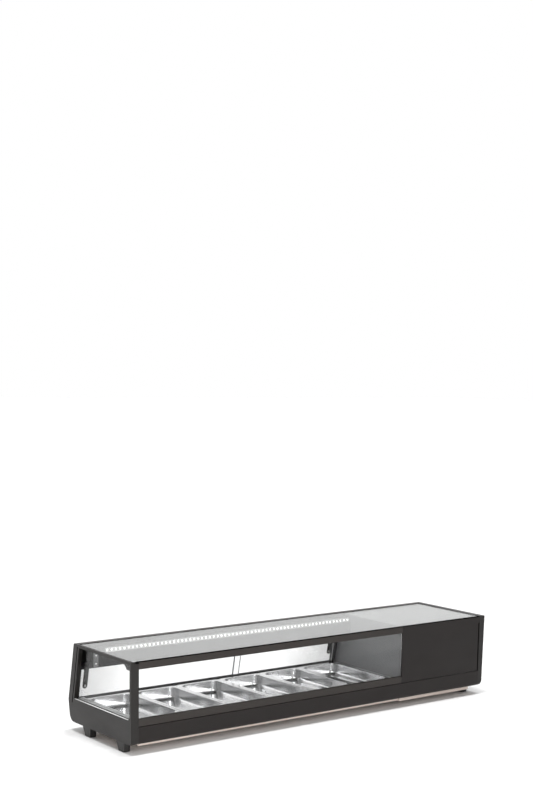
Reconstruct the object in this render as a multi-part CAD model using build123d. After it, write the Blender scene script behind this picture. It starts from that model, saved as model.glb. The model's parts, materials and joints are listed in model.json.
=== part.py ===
from build123d import *
import math
import os

# Countertop refrigerated deli case: a low black case with six food pans under flat glass, two clear
# sliding doors along the sloping rear and the cooling unit in a closed compartment on the right.
#
# Working frame: X runs from the left end, Y from the front face, Z up from the counter, all in mm.
# save() moves each piece so that the origin is at the bottom centre of the whole case.

# ---- driving dimensions -------------------------------------------------------------------------
LENGTH = 1514.0          # overall, left to right
DEPTH = 385.0            # overall, front face to the widest line of the rear
HEIGHT = 291.0           # overall, counter to the top glass
FOOT_H = 32.0            # left feet; the underside of the body stands this high
TOP_DEPTH = 350.0        # front face to the rear edge of the top
WIDE_Z = 101.0           # height of the widest line of the rear
REAR_FOOT_Y = 373.0      # where the rear skin's two straight faces would meet the underside
SEAM_Z = 88.0            # joint between the lower front panel and what stands on it
SILL_Z = 112.0           # top of the front sill rail
RAIL_Z = 266.0           # underside of the front top rail
BEAM_Z = 219.0           # underside of the rear beam
LEDGE_Z = 99.0           # top of the cold well's flange, which carries the pans

POST_W = 28.0            # width of the left end frame's front edge
END_T = 14.0             # thickness of the left end frame
PARTITION_X = 1109.0     # left face of the wall between the display and the cooling unit
RIGHT_EDGE_W = 25.0      # width of the right end panel's front and rear edges
SLOT_W = 5.0             # shadow slots in the left end and beside the right end
GLASS_T = 6.0
SIDE_GLASS_T = 4.0
DOOR_T = 4.0
SHEET_T = 2.0            # painted sheet of the outer panels
STAINLESS_T = 1.0
RIM_W = 24.0             # painted rim behind the top glass
GROOVE_W = 9.0           # dark groove between the glass and the rim
GLASS_PROUD = 3.5        # height of the top glass's front edge above the rail

PAN_COUNT = 6
PAN_PITCH = 176.5        # one third size gastronorm pans, 325 x 176 x 40
PAN_W = 176.0
PAN_L = 325.0
PAN_DEPTH = 40.0
PAN_RIM = 11.5
PAN_X0 = 41.6            # left edge of the first pan
PAN_Y0 = 35.0            # front edge of the pans
PAN_CORNER_R = 26.0
WELL_FLOOR_Z = 46.0

DOOR_OVERLAP = (641.0, 674.0)   # X range where the two doors pass each other
DOOR_CLEAR = (POST_W, PARTITION_X - 16.0)
LED_PITCH = 16.0

RUN_GAP = 0.3            # clearance beside every moving piece
SMALL = 0.3              # gap between panels that meet edge to edge
ON_BASE = (Align.CENTER, Align.CENTER, Align.MIN)

REAR_TILT = math.atan2(DEPTH - TOP_DEPTH, HEIGHT - WIDE_Z)
BEAM_U = (BEAM_Z - WIDE_Z) / math.cos(REAR_TILT)

# Sloping rear plane: local x along the case, y up the slope from the widest line, z into the case.
REAR = Plane(
    origin=(0, DEPTH, WIDE_Z),
    x_dir=(1, 0, 0),
    z_dir=(0, -math.cos(REAR_TILT), -math.sin(REAR_TILT)),
)


# ---- helpers ------------------------------------------------------------------------------------
def block(x, y, z):
    """Box between the low and high value of each axis."""
    centre = Pos((x[0] + x[1]) / 2, (y[0] + y[1]) / 2, (z[0] + z[1]) / 2)
    return centre * Box(x[1] - x[0], y[1] - y[0], z[1] - z[0])


def rear(u, w):
    """Y and Z of a point u up the sloping rear and w inside it."""
    return (
        DEPTH - u * math.sin(REAR_TILT) - w * math.cos(REAR_TILT),
        WIDE_Z + u * math.cos(REAR_TILT) - w * math.sin(REAR_TILT),
    )


def rear_at(z, w):
    """Y and Z of the point at height z on the line w inside the sloping rear."""
    u = (z - WIDE_Z + w * math.sin(REAR_TILT)) / math.cos(REAR_TILT)
    return rear(u, w)


def profile(points, x, radii=0):
    """Y-Z outline, with one corner radius or a list of them, drawn out along X."""
    if radii:
        outline = FilletPolyline(*points, radius=radii, close=True)
    else:
        outline = Polyline(*points, close=True)
    face = Plane.YZ * make_face(outline)
    return Pos(x[0], 0, 0) * extrude(face, x[1] - x[0], dir=(1, 0, 0))


def save(name, *pieces):
    """Write one node, moved to the origin at the case's bottom centre."""
    home = Pos(-LENGTH / 2, -DEPTH / 2, 0)
    solids = [home * solid for piece in pieces for solid in piece.solids()]
    shape = solids[0] if len(solids) == 1 else Compound(children=solids)
    export_step(shape, f"parts/{name}.step")


def case_outline(x):
    """The whole end view of the body: square front, flat top, sloping rear, rounded underneath."""
    points = [
        (0, FOOT_H),
        (0, HEIGHT),
        (TOP_DEPTH, HEIGHT),
        (DEPTH, WIDE_Z),
        (REAR_FOOT_Y, FOOT_H),
    ]
    return profile(points, x, [10, 1.5, 3, 8, 28])


def pan_head_screw(length, head_r=3.6, head_h=2.2, shank_r=1.9):
    """Cross-recess screw on +Z, its head's underside at z = 0."""
    head = Cylinder(head_r, head_h, align=ON_BASE)
    head = fillet(head.edges().group_by(Axis.Z)[-1], 1)
    recess = Pos(0, 0, head_h) * (Box(3.2, 0.8, 1.6) + Box(0.8, 3.2, 1.6))
    shank = Cylinder(shank_r, length, align=(Align.CENTER, Align.CENTER, Align.MAX))
    return head - recess + shank


# ---- outer body ---------------------------------------------------------------------------------
FRONT_X = (POST_W + SMALL, LENGTH - RIGHT_EDGE_W - SMALL)    # between the two ends, at the front
REAR_X = (END_T + SMALL, LENGTH - RIGHT_EDGE_W - SMALL)      # between the two ends, at the rear
STILE_W = 35.0           # rear stile of the left end frame, measured in from the sloping rear
TOP_RAIL_H = 10.0
END_LEAN = 5.0           # the right end leans in this far towards its foot
END_FOOT_R = 20.0        # and is rounded into the underside
WINDOW_Z = (109.0, HEIGHT - TOP_RAIL_H)
REBATE_Z = HEIGHT - GLASS_T - 2.0    # ledge that carries the top glass on its seal
REBATE_LIP = 4.0         # width of the lip in front of the top glass
RAIL_D = 20.0            # depth of the front top rail
RAIL_LIP = 3.0
REAR_RAIL_Y = 312.0      # front face of the rear top rail
REAR_RAIL_Z = REBATE_Z - 9.0
BEAM_Y = 280.0           # front face of the rear beam


def left_end_frame():
    z0, z1 = WINDOW_Z
    corners = [(9, z0), (9, z1), rear_at(z1, STILE_W), rear_at(z0, STILE_W)]
    window = profile(corners, (-1, END_T + 1), [1.5, 1.5, 3, 3])
    slot = REAR * block((-1, 5), (-2, 190), (23, 23 + SLOT_W))
    plate = case_outline((0, END_T)) - window - slot
    rebate = block((6, END_T + 1), (REBATE_LIP, TOP_DEPTH - RIM_W), (REBATE_Z, HEIGHT + 1))
    post = case_outline((0, POST_W)) & block((0, POST_W), (0, 9), (FOOT_H, REBATE_Z))
    return plate - rebate + post


def right_end_panel():
    """Hollow end cap: a leaning side with two columns of vent slots and a turned-in edge all round."""
    t = SHEET_T
    edge_x = (LENGTH - RIGHT_EDGE_W, LENGTH)
    inside = [
        (t, FOOT_H + t),
        (t, HEIGHT - t),
        rear_at(HEIGHT - t, t),
        rear(0, t),
        (REAR_FOOT_Y - t, FOOT_H + t),
    ]
    outer = case_outline(edge_x) & end_front_view(0)
    hollow = profile(inside, (edge_x[0] - 1, edge_x[1]), [8, 0.5, 1, 6, 26]) & end_front_view(3)
    panel = outer - hollow
    for column in range(2):
        for row in range(9):
            slot = Plane.YZ * Pos(120 + 110 * column, 70 + 14 * row) * SlotOverall(90, 5)
            panel -= Pos(LENGTH, 0, 0) * extrude(slot, 15, both=True)
    return panel


def end_front_view(inset):
    """The right end seen from the front, drawn out over the whole depth."""
    side = LENGTH - inset
    points = [
        (LENGTH - RIGHT_EDGE_W - 2, FOOT_H),
        (side - END_LEAN, FOOT_H),
        (side, HEIGHT),
        (LENGTH - RIGHT_EDGE_W - 2, HEIGHT),
    ]
    outline = FilletPolyline(*points, radius=[0, END_FOOT_R - inset, 1.5, 0], close=True)
    return extrude(Plane.XZ * make_face(outline), DEPTH, dir=(0, 1, 0))


def front_top_rail():
    lip_z = HEIGHT - GLASS_PROUD
    lip = [(RAIL_LIP, REBATE_Z), (RAIL_LIP, lip_z), (0, lip_z)]
    points = [(0, RAIL_Z), (RAIL_D, RAIL_Z), (RAIL_D, REBATE_Z), *lip]
    return profile(points, (FRONT_X[0], PARTITION_X), [1, 1, 1, 0, 0.8, 0.8])


def front_sill_rail():
    """Rail with a channel along its top that holds the foot of the front glass."""
    z0 = SEAM_Z + 0.7
    floor_z = SILL_Z - 9
    channel = [(3, SILL_Z), (3, floor_z), (10, floor_z), (10, SILL_Z)]
    points = [(0, z0), (0, SILL_Z), *channel, (14, SILL_Z), (14, z0)]
    return profile(points, (POST_W + SMALL, PARTITION_X), [0.8, 0.8, 0.8, 0, 0, 0.8, 0.8, 0])


def front_lower_panel():
    z1 = SEAM_Z - 0.7
    t = SHEET_T
    outside = [(0, z1), (0, FOOT_H), (26, FOOT_H)]
    inside = [(26, FOOT_H + t), (t, FOOT_H + t), (t, z1 - t), (9, z1 - t), (9, z1)]
    return profile(outside + inside, FRONT_X, [1, 10, 0, 0, 8, 0, 0, 0])


def motor_front_panel():
    """Sheet up to the top glass, with a shadow slot at its right and a shelf under the glass."""
    t = SHEET_T
    x = (PARTITION_X + 0.4, LENGTH - RIGHT_EDGE_W - SLOT_W)
    z = (SEAM_Z + 0.7, REBATE_Z)
    face = block(x, (0, t), (z[0], HEIGHT - GLASS_PROUD))
    face += block((x[0], FRONT_X[1]), (0, t), (RAIL_Z, HEIGHT - GLASS_PROUD))
    face = fillet(face.edges().filter_by(Axis.Z).group_by(Axis.Y)[0], 0.8)
    shelf = block(x, (t, RAIL_D), (REBATE_Z - t, REBATE_Z))
    left_flange = block((x[0], x[0] + t), (t, 9), z)
    right_flange = block((x[1] - t, x[1]), (t, RAIL_D), z)
    return face + shelf + left_flange + right_flange


def rear_lower_panel():
    t = SHEET_T
    points = [
        (DEPTH, WIDE_Z - 0.4),
        (REAR_FOOT_Y, FOOT_H),
        (330, FOOT_H),
        (330, FOOT_H + t),
        (REAR_FOOT_Y - t, FOOT_H + t),
        (DEPTH - t, WIDE_Z - 0.4),
    ]
    return profile(points, REAR_X, [0, 28, 0, 0, 26, 0])


COVER_X = (PARTITION_X + 4, LENGTH - RIGHT_EDGE_W - SMALL)
COVER_U = (1.0, (REAR_RAIL_Z - WIDE_Z) / math.cos(REAR_TILT) - 1.0)
THERMOSTAT = (1418.0, 132.0)      # X and u of the controller's centre on the rear cover
SWITCH = (1386.0, 84.0)
GLAND = (1446.0, 62.0)
SCREW_X = (COVER_X[0] + 12, (COVER_X[0] + COVER_X[1]) / 2, COVER_X[1] - 12)
SCREW_U = (COVER_U[0] + 20, COVER_U[1] - 10)


def motor_rear_cover():
    cover = block(COVER_X, COVER_U, (0, SHEET_T))
    cover = fillet(cover.edges().filter_by(Axis.Z), 2)
    for column in range(2):
        for row in range(12):
            slot = Pos(1175 + 95 * column, 26 + 11 * row, 0) * SlotOverall(80, 4.5)
            cover -= extrude(slot, 5, both=True)
    cover -= Pos(*THERMOSTAT, 0) * Box(71.4, 29.4, 10)
    cover -= Pos(*SWITCH, 0) * Box(27.4, 21.4, 10)
    cover -= Pos(*GLAND, 0) * Cylinder(7.6, 10)
    for x in SCREW_X:
        for u in SCREW_U:
            cover -= Pos(x, u, 0) * Cylinder(1.95, 10)
    return REAR * cover


def motor_top_plate():
    x = (PARTITION_X + 3.4, LENGTH - RIGHT_EDGE_W - SLOT_W - 0.5)
    return block(x, (RAIL_D + 0.5, REAR_RAIL_Y - 1), (REBATE_Z - SHEET_T, REBATE_Z))


TRAY_X = (PARTITION_X + 4, 1454.0)
TRAY_Y = (12.0, 329.0)
TRAY_Z = 20.0
TRAY_T = 1.5


def motor_base_tray():
    """Open tray that hangs below the body, with a ledge at its right for the feet."""
    outer = block(TRAY_X, TRAY_Y, (TRAY_Z, FOOT_H))
    outer = fillet(outer.edges().filter_by(Axis.Z) + outer.edges().group_by(Axis.Z)[0], 2.5)
    outer += block((TRAY_X[1] - 5, LENGTH - RIGHT_EDGE_W - 1), TRAY_Y, (FOOT_H - TRAY_T, FOOT_H))
    t = TRAY_T
    inner = block((TRAY_X[0] + t, TRAY_X[1] - t), (TRAY_Y[0] + t, TRAY_Y[1] - t), (TRAY_Z + t, FOOT_H + 5))
    tray = outer - inner
    for column in range(7):
        vent = Pos(1160 + 22 * column, 250, TRAY_Z) * SlotOverall(90, 6).rotate(Axis.Z, 90)
        tray -= extrude(vent, 5, both=True)
    return tray


def tank_floor_panel():
    """Floor under the cold well, with a turned-down hem that shows below the front panel."""
    floor = block((END_T + SMALL, PARTITION_X), (26.3, 329.7), (FOOT_H - 2, FOOT_H - 0.5 + STAINLESS_T))
    hem_x = (POST_W + 2, PARTITION_X - 6)
    ledge = block(hem_x, (9, 32), (FOOT_H - 2, FOOT_H - 0.4))
    return floor + ledge + block(hem_x, (9, 10.5), (FOOT_H - 6, FOOT_H - 0.4))


def partition_panel():
    """Upright wall between the display and the cooling unit, notched under the rear top rail."""
    notch_z = REAR_RAIL_Z - SMALL
    notch_y = REAR_RAIL_Y - 0.5
    points = [
        (10.3, FOOT_H + 4),
        (10.3, REBATE_Z - SMALL),
        (notch_y, REBATE_Z - SMALL),
        (notch_y, notch_z),
        rear_at(notch_z, 3),
        (DEPTH - 4, WIDE_Z),
        (REAR_FOOT_Y - 16, FOOT_H + 4),
    ]
    wall = profile(points, (PARTITION_X, PARTITION_X + 3))
    return wall - block((PARTITION_X - 1, PARTITION_X + 4), (0, RAIL_D + SMALL), (RAIL_Z - SMALL, HEIGHT))


# ---- top and glazing ----------------------------------------------------------------------------
GLASS_X = (7.0, LENGTH - RIGHT_EDGE_W - GROOVE_W)
GLASS_Y = (REBATE_LIP, TOP_DEPTH - RIM_W - GROOVE_W)


def rear_top_rail():
    z0 = REAR_RAIL_Z
    points = [
        (REAR_RAIL_Y, z0),
        (REAR_RAIL_Y, REBATE_Z),
        (TOP_DEPTH - RIM_W, REBATE_Z),
        (TOP_DEPTH - RIM_W, HEIGHT),
        rear_at(HEIGHT, 0),
        rear_at(z0, 0),
    ]
    return profile(points, REAR_X, [1, 0, 0, 0.8, 3, 0.5])


def rear_top_beam():
    """Hollow box beam under the rear rail: carries the lamp in front and the doors underneath."""
    z1 = REAR_RAIL_Z - SMALL
    y0 = BEAM_Y
    t = 1.5
    outer_points = [(y0, BEAM_Z), (y0, z1), rear_at(z1, 0), rear_at(BEAM_Z, 0)]
    inner_points = [(y0 + t, BEAM_Z + t), (y0 + t, z1 - t), rear_at(z1 - t, t), rear_at(BEAM_Z + t, t)]
    x = (19.0, PARTITION_X - SMALL)
    return profile(outer_points, x, 2) - profile(inner_points, (x[0] - 1, x[1] + 1), 1)


def top_glass():
    pane = block(GLASS_X, GLASS_Y, (HEIGHT - GLASS_T, HEIGHT))
    return chamfer(pane.edges().group_by(Axis.Z)[-1], 0.8)


def top_glass_seal():
    """Bedding strips under the pane's edges, its front lip and the dark fillers behind and beside it."""
    z = (REBATE_Z + 0.05, HEIGHT - GLASS_T - 0.05)
    filler_z = (z[0], HEIGHT - GLASS_T)
    lip = block((END_T + 0.5, GLASS_X[1]), (GLASS_Y[0] - 0.9, GLASS_Y[0] - 0.1), (z[0], HEIGHT - 0.4))
    left, right = GLASS_X
    back = GLASS_Y[1]
    rear_filler = block((left, right), (back + 0.2, back + GROOVE_W - 0.2), filler_z)
    right_filler = block((right + 0.2, right + GROOVE_W - 0.5), (GLASS_Y[0], back + GROOVE_W), filler_z)
    front_bed = block((POST_W, right), (GLASS_Y[0] + 1, 19), z)
    rear_bed = block((left, right), (REAR_RAIL_Y + 1, back), z)
    left_bed = block((left, END_T), (GLASS_Y[0] + 1, REAR_RAIL_Y + 0.5), z)
    return lip, rear_filler, right_filler, front_bed, rear_bed, left_bed


def front_glass():
    pane = block((POST_W + 0.5, PARTITION_X - 0.5), (3.5, 3.5 + GLASS_T), (SILL_Z - 8.7, RAIL_Z - SMALL))
    return chamfer(pane.edges().filter_by(Axis.Z), 0.5)


def side_glass():
    """Pane inside the left end's window, notched under the rear top rail."""
    z0, z1 = WINDOW_Z[0] - 5, WINDOW_Z[1] + 2
    w = STILE_W - 6
    notch_y, notch_z = REAR_RAIL_Y - 0.5, REAR_RAIL_Z - SMALL
    points = [(10, z0), (10, z1), (notch_y, z1), (notch_y, notch_z), rear_at(notch_z, w), rear_at(z0, w)]
    return profile(points, (END_T + 0.2, END_T + 0.2 + SIDE_GLASS_T), 1)


def front_corner_gusset():
    """Small bracket with a hollow curve that ties the top rail to the front post."""
    z1 = RAIL_Z + 12
    z0 = z1 - 21
    with BuildSketch(Plane.YZ) as sketch:
        with BuildLine():
            Polyline((54, z0), (10, z0), (10, z1), (84, z1), (84, z1 - 3))
            RadiusArc((84, z1 - 3), (54, z0), -36)
        make_face()
    return Pos(END_T + SIDE_GLASS_T + 0.4, 0, 0) * extrude(sketch.sketch, 3, dir=(1, 0, 0))


# ---- cold well and pans -------------------------------------------------------------------------
WELL_X = (PAN_X0 + 9, PAN_X0 + PAN_COUNT * PAN_PITCH - 9.5)
WELL_Y = (PAN_Y0 + 5, PAN_Y0 + PAN_L - 9)    # more room in front, as the pans lift along the rear slope
FLANGE_X = (END_T + SIDE_GLASS_T + 0.6, PARTITION_X - SMALL)
FLANGE_Y = (14.3, 363.3)


def rounded_box(x, y, z, radius, floor_radius=0.0):
    solid = fillet(block(x, y, z).edges().filter_by(Axis.Z), radius)
    return fillet(solid.edges().group_by(Axis.Z)[0], floor_radius) if floor_radius else solid


def well_liner():
    """Stainless tub: a flange all round, straight walls and a rounded floor."""
    t = STAINLESS_T
    flange = block(FLANGE_X, FLANGE_Y, (LEDGE_Z - t, LEDGE_Z))
    upstand = block(FLANGE_X, (FLANGE_Y[0], FLANGE_Y[0] + t), (LEDGE_Z, SILL_Z - 2))
    outer_x, outer_y = (WELL_X[0] - t, WELL_X[1] + t), (WELL_Y[0] - t, WELL_Y[1] + t)
    tub = rounded_box(outer_x, outer_y, (WELL_FLOOR_Z - t, LEDGE_Z), 20, 7)
    hollow = rounded_box(WELL_X, WELL_Y, (WELL_FLOOR_Z, LEDGE_Z + 5), 19, 6)
    return flange + upstand + tub - hollow


def well_insulation():
    """Foam that fills the space between the tub and the outer skins."""
    foam = block(FLANGE_X, (14.3, 362), (FOOT_H + 2.5, LEDGE_Z - STAINLESS_T - 0.1))
    foam -= block((0, PARTITION_X), (0, 26.5), (0, FOOT_H + 4))
    foam -= block((0, PARTITION_X), (328, DEPTH), (0, FOOT_H + 20))
    t = STAINLESS_T + 0.1
    tub_x, tub_y = (WELL_X[0] - t, WELL_X[1] + t), (WELL_Y[0] - t, WELL_Y[1] + t)
    return foam - rounded_box(tub_x, tub_y, (WELL_FLOOR_Z - t, HEIGHT), 20)


def pan(index):
    """One third size pan: flat rim with a turned-down edge, tapered sides and a rounded floor."""
    x0 = PAN_X0 + index * PAN_PITCH
    rim_z = LEDGE_Z + 2.1
    centre = Pos(x0 + PAN_W / 2, PAN_Y0 + PAN_L / 2, rim_z)
    top_align = (Align.CENTER, Align.CENTER, Align.MAX)

    def rounded(length, width, height, radius):
        solid = Box(length, width, height, align=top_align)
        return fillet(solid.edges().filter_by(Axis.Z), radius)

    def tub(inset, depth, radius, floor_radius):
        sketch = RectangleRounded(PAN_W - 2 * inset, PAN_L - 2 * inset, radius)
        body = extrude(sketch, depth, dir=(0, 0, -1), taper=4)
        return fillet(body.faces().sort_by(Axis.Z)[0].edges(), floor_radius)

    t = STAINLESS_T
    rim = rounded(PAN_W, PAN_L, 2.0, 14) - Pos(0, 0, -t) * rounded(PAN_W - 2 * t, PAN_L - 2 * t, 5, 13)
    outer = tub(PAN_RIM, PAN_DEPTH, PAN_CORNER_R, 11)
    inner = Pos(0, 0, 0.001) * tub(PAN_RIM + t, PAN_DEPTH - t, PAN_CORNER_R - t, 10)
    return centre * (rim + outer - inner)


def pan_divider_bars():
    bars = []
    for gap in range(1, PAN_COUNT):
        x = PAN_X0 + gap * PAN_PITCH - (PAN_PITCH - PAN_W) / 2
        bar = block((x - 4, x + 4), (WELL_Y[0] + 0.05, WELL_Y[1] - 0.05), (LEDGE_Z - 6, LEDGE_Z))
        bars.append(bar)
    return bars


GRILLE_H = 9.5
GRILLE_Y = (18.0, 356.0)
GRILLE_SLOT = 9.5        # the slots lie across the strip
GRILLE_PITCH = 18.0


def air_grille_left():
    """Slotted strip between the side glass and the first pan."""
    x = (FLANGE_X[0] + 1, PAN_X0 - 1.5)
    z = (LEDGE_Z, LEDGE_Z + GRILLE_H)
    strip = fillet(block(x, GRILLE_Y, z).edges().group_by(Axis.Z)[-1], 0.8)
    for k in range(int((GRILLE_Y[1] - GRILLE_Y[0] - 24) / GRILLE_PITCH)):
        slot_y = GRILLE_Y[0] + 10 + GRILLE_PITCH * k
        strip -= block((x[0] + 3, x[1] - 3), (slot_y, slot_y + GRILLE_SLOT), (z[0] - 1, z[1] + 1))
    return strip


def evaporator_coil():
    """Copper tube that runs to and fro over the tub's floor."""
    y = [WELL_Y[0] + 28 + 50 * k for k in range(6)]
    x0, x1 = WELL_X[0] + 30, WELL_X[1] - 30
    z = WELL_FLOOR_Z + 5
    corners = []
    for run, level in enumerate(y):
        ends = [(x0, level, z), (x1, level, z)]
        corners += ends if run % 2 == 0 else ends[::-1]
    path = FilletPolyline(*corners, radius=22)
    start = Plane(origin=corners[0], z_dir=(1, 0, 0))
    return sweep(start * Circle(4), path=path)


# ---- lamp ---------------------------------------------------------------------------------------
LED_X = (74.0, PARTITION_X - 14.0)
LED_Z = 268.0


def led_channel():
    x0, x1 = LED_X
    y1 = BEAM_Y
    channel = block(LED_X, (y1 - 8, y1), (LED_Z - 6, LED_Z + 6))
    return channel - block((x0 + 1, x1 - 1), (y1 - 9, y1 - 1.5), (LED_Z - 4.8, LED_Z + 4.8))


def led_board():
    x = (LED_X[0] + 1.5, LED_X[1] - 1.5)
    return block(x, (BEAM_Y - 2.6, BEAM_Y - 1.5), (LED_Z - 4, LED_Z + 4))


def led_chips():
    count = int((LED_X[1] - LED_X[0] - 12) / LED_PITCH) + 1
    first = Pos(LED_X[0] + 7, BEAM_Y - 3.3, LED_Z)
    return [first * Pos(LED_PITCH * k, 0, 0) * Box(5, 1.4, 5) for k in range(count)]


# ---- rear doors ---------------------------------------------------------------------------------
OUTER_W = (5.2, 5.2 + DOOR_T)      # left door, in the outer track
INNER_W = (12.8, 12.8 + DOOR_T)    # right door, in the inner track
FINS = ((2.6, 4.8), (9.6, 12.4), (17.2, 19.4))
FIN_H = 4.7
TRACK_X = (END_T + SIDE_GLASS_T + 1, PARTITION_X - SMALL)
DOOR_U = (RUN_GAP, BEAM_U - 5.0)


def door_track_bottom():
    base = profile([(364, LEDGE_Z - 7), (380.4, LEDGE_Z - 7), rear(0, 2.6), rear(0, 20.4)], TRACK_X)
    for low, high in FINS:
        base += REAR * block(TRACK_X, (-1, FIN_H), (low, high))
    return base


def door_track_top():
    """Three fins under the beam, cut level with its underside."""
    underside = BEAM_U - 3.5
    corners = [rear_at(BEAM_Z, 2), rear(underside, 2), rear(underside, 20), rear_at(BEAM_Z, 20)]
    web = profile(corners, TRACK_X)
    for low, high in FINS:
        web += REAR * block(TRACK_X, (BEAM_U - 14, BEAM_U - 3), (low, high))
    return web - block(TRACK_X, (300, DEPTH), (BEAM_Z, BEAM_Z + 30))


def door_end_posts():
    u = (FIN_H + SMALL, BEAM_U - 14.3)
    left = REAR * block((TRACK_X[0], DOOR_CLEAR[0]), u, (2.6, 20))
    right = REAR * block((DOOR_CLEAR[1], TRACK_X[1]), u, (2.6, 20))
    return left, right


EDGE_W = 3.0             # trim on the doors' meeting edges


def door_left():
    return REAR * block((DOOR_CLEAR[0] + RUN_GAP, DOOR_OVERLAP[1] - EDGE_W), DOOR_U, OUTER_W)


def door_right():
    return REAR * block((DOOR_OVERLAP[0] + EDGE_W, DOOR_CLEAR[1] - RUN_GAP), DOOR_U, INNER_W)


def door_edge(x, w, free_side):
    """Trim on a door's meeting edge, rounded on its free side: 0 for the left, -1 for the right."""
    trim = block(x, DOOR_U, w)
    return REAR * fillet(trim.edges().filter_by(Axis.Y).group_by(Axis.X)[free_side], 1)


def door_left_edge():
    return door_edge((DOOR_OVERLAP[1] - EDGE_W, DOOR_OVERLAP[1]), OUTER_W, -1)


def door_right_edge():
    return door_edge((DOOR_OVERLAP[0], DOOR_OVERLAP[0] + EDGE_W), INNER_W, 0)


# ---- hanging arms -------------------------------------------------------------------------------
ARM_W = 17.0
ARM_T = 2.0
ARM_END_U = 48.0
ARM_DEPTH = 20.3         # how far inside the sloping rear the arms hang, clear of a lifted pan
ARM_X = (45.7, PARTITION_X - 39.3)


def hanging_arms():
    arms = []
    for x in ARM_X:
        strap_w = (ARM_DEPTH, ARM_DEPTH + ARM_T)
        strap = block((x - ARM_W / 2, x + ARM_W / 2), (ARM_END_U, BEAM_U + 4), strap_w)
        boss = Pos(x, ARM_END_U, ARM_DEPTH + ARM_T / 2) * Cylinder(ARM_W / 2, ARM_T)
        arm = REAR * (strap + boss - Pos(x, ARM_END_U, ARM_DEPTH) * Cylinder(1.95, 20))
        arms.append(arm - block((0, PARTITION_X), (200, DEPTH), (BEAM_Z, HEIGHT)))
    return arms


def arm_screws():
    screw = pan_head_screw(4, head_r=4.5, head_h=1.4)
    return [REAR * (Pos(x, ARM_END_U, ARM_DEPTH + ARM_T) * screw) for x in ARM_X]


# ---- feet and screws ----------------------------------------------------------------------------
FOOT_X = (5.0, 1461.0)
FOOT_Y = (46.0, 252.0)
FOOT_W = 22.0
FOOT_L = 50.0


def foot(x0, y0, height):
    """Tapered block whose rear side slopes in towards the counter."""
    slope = 16.0 * height / FOOT_H
    points = [(y0 + 3, 0), (y0, height), (y0 + FOOT_L, height), (y0 + FOOT_L - slope, 0)]
    return profile(points, (x0, x0 + FOOT_W), [2, 1, 1, 3])


def feet():
    floor_step = block((END_T, 60), (0, DEPTH), (FOOT_H - 2.1, 60))
    left = [foot(FOOT_X[0], y, FOOT_H) - floor_step for y in FOOT_Y]
    right = [foot(FOOT_X[1], y, FOOT_H - TRAY_T) for y in FOOT_Y]
    return left + right


def panel_screws():
    screw = pan_head_screw(8)
    return [REAR * (Pos(x, u, 0) * Rot(180, 0, 0) * screw) for x in SCREW_X for u in SCREW_U]


# ---- cooling unit -------------------------------------------------------------------------------
COMPRESSOR = (1190.0, 110.0)
COMPRESSOR_R = 58.0
MOUNT_H = 12.0
TRAY_TOP = TRAY_Z + TRAY_T
FAN = (1290.0, 130.0)        # X and Z of the fan's axis, which runs along Y
FAN_R = 70.0
COIL_Y = (285.0, 325.0)
SHAFT_R = 3.0


def compressor():
    z0 = TRAY_TOP + MOUNT_H
    shell = Cylinder(COMPRESSOR_R, 150, align=ON_BASE)
    shell = fillet(shell.edges().group_by(Axis.Z)[-1], 34)
    shell = fillet(shell.edges().group_by(Axis.Z)[0], 20)
    seam = Pos(0, 0, 72) * Cylinder(COMPRESSOR_R + 2, 4)
    plate = Pos(0, 0, 1.5) * fillet(Box(130, 130, 3).edges().filter_by(Axis.Z), 12)
    terminal = Pos(0, -COMPRESSOR_R - 6, 62) * Box(46, 24, 54)
    return Pos(*COMPRESSOR, z0) * (shell + seam + plate + terminal)


def compressor_mounts():
    mount = Pos(*COMPRESSOR, TRAY_TOP) * fillet(Cylinder(9, MOUNT_H, align=ON_BASE).edges(), 2)
    return [Pos(dx, dy, 0) * mount for dx in (-52, 52) for dy in (-52, 52)]


def condenser_coil():
    x = (FAN[0] - 85, FAN[0] + 85)
    z = (FAN[1] - 88, FAN[1] + 92)
    core = block(x, COIL_Y, z)
    for level in range(int((z[1] - z[0]) / 9) - 1):
        groove_z = z[0] + 9 + 9 * level
        core -= block((x[0] + 6, x[1] - 6), (COIL_Y[0] - 1, COIL_Y[0] + 15), (groove_z, groove_z + 5))
    legs = block(x, COIL_Y, (TRAY_TOP, z[0]))
    return core + legs


def fan_shroud():
    x = (FAN[0] - 85, FAN[0] + 85)
    y = (COIL_Y[0] - 34, COIL_Y[0] - 0.2)
    box = block(x, y, (FAN[1] - 84, FAN[1] + 84))
    box -= block((x[0] + 2, x[1] - 2), (y[0] + 2, y[1] + 1), (FAN[1] - 82, FAN[1] + 82))
    throat = Pos(FAN[0], y[0], FAN[1]) * Rot(90, 0, 0) * Cylinder(FAN_R + 5, 10)
    return box - throat


FAN_Y = (COIL_Y[0] - 30.0, COIL_Y[0] - 12.0)


def fan_motor():
    """Motor on a cross strut in front of the shroud, its shaft pointing to the coil."""
    x, z = FAN
    can = Pos(x, FAN_Y[0] - 32, z) * Rot(90, 0, 0) * Cylinder(26, 50)
    shaft = Pos(x, FAN_Y[0] + 2, z) * Rot(90, 0, 0) * Cylinder(SHAFT_R, 28)
    motor = can + shaft + block((x - 85, x + 85), (FAN_Y[0] - 10, FAN_Y[0] - 7), (z - 6, z + 6))
    for tie_x in (x - 85, x + 82):
        motor += block((tie_x, tie_x + 3), (FAN_Y[0] - 10, FAN_Y[0] - 4.2), (z - 6, z + 6))
    return motor


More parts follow.
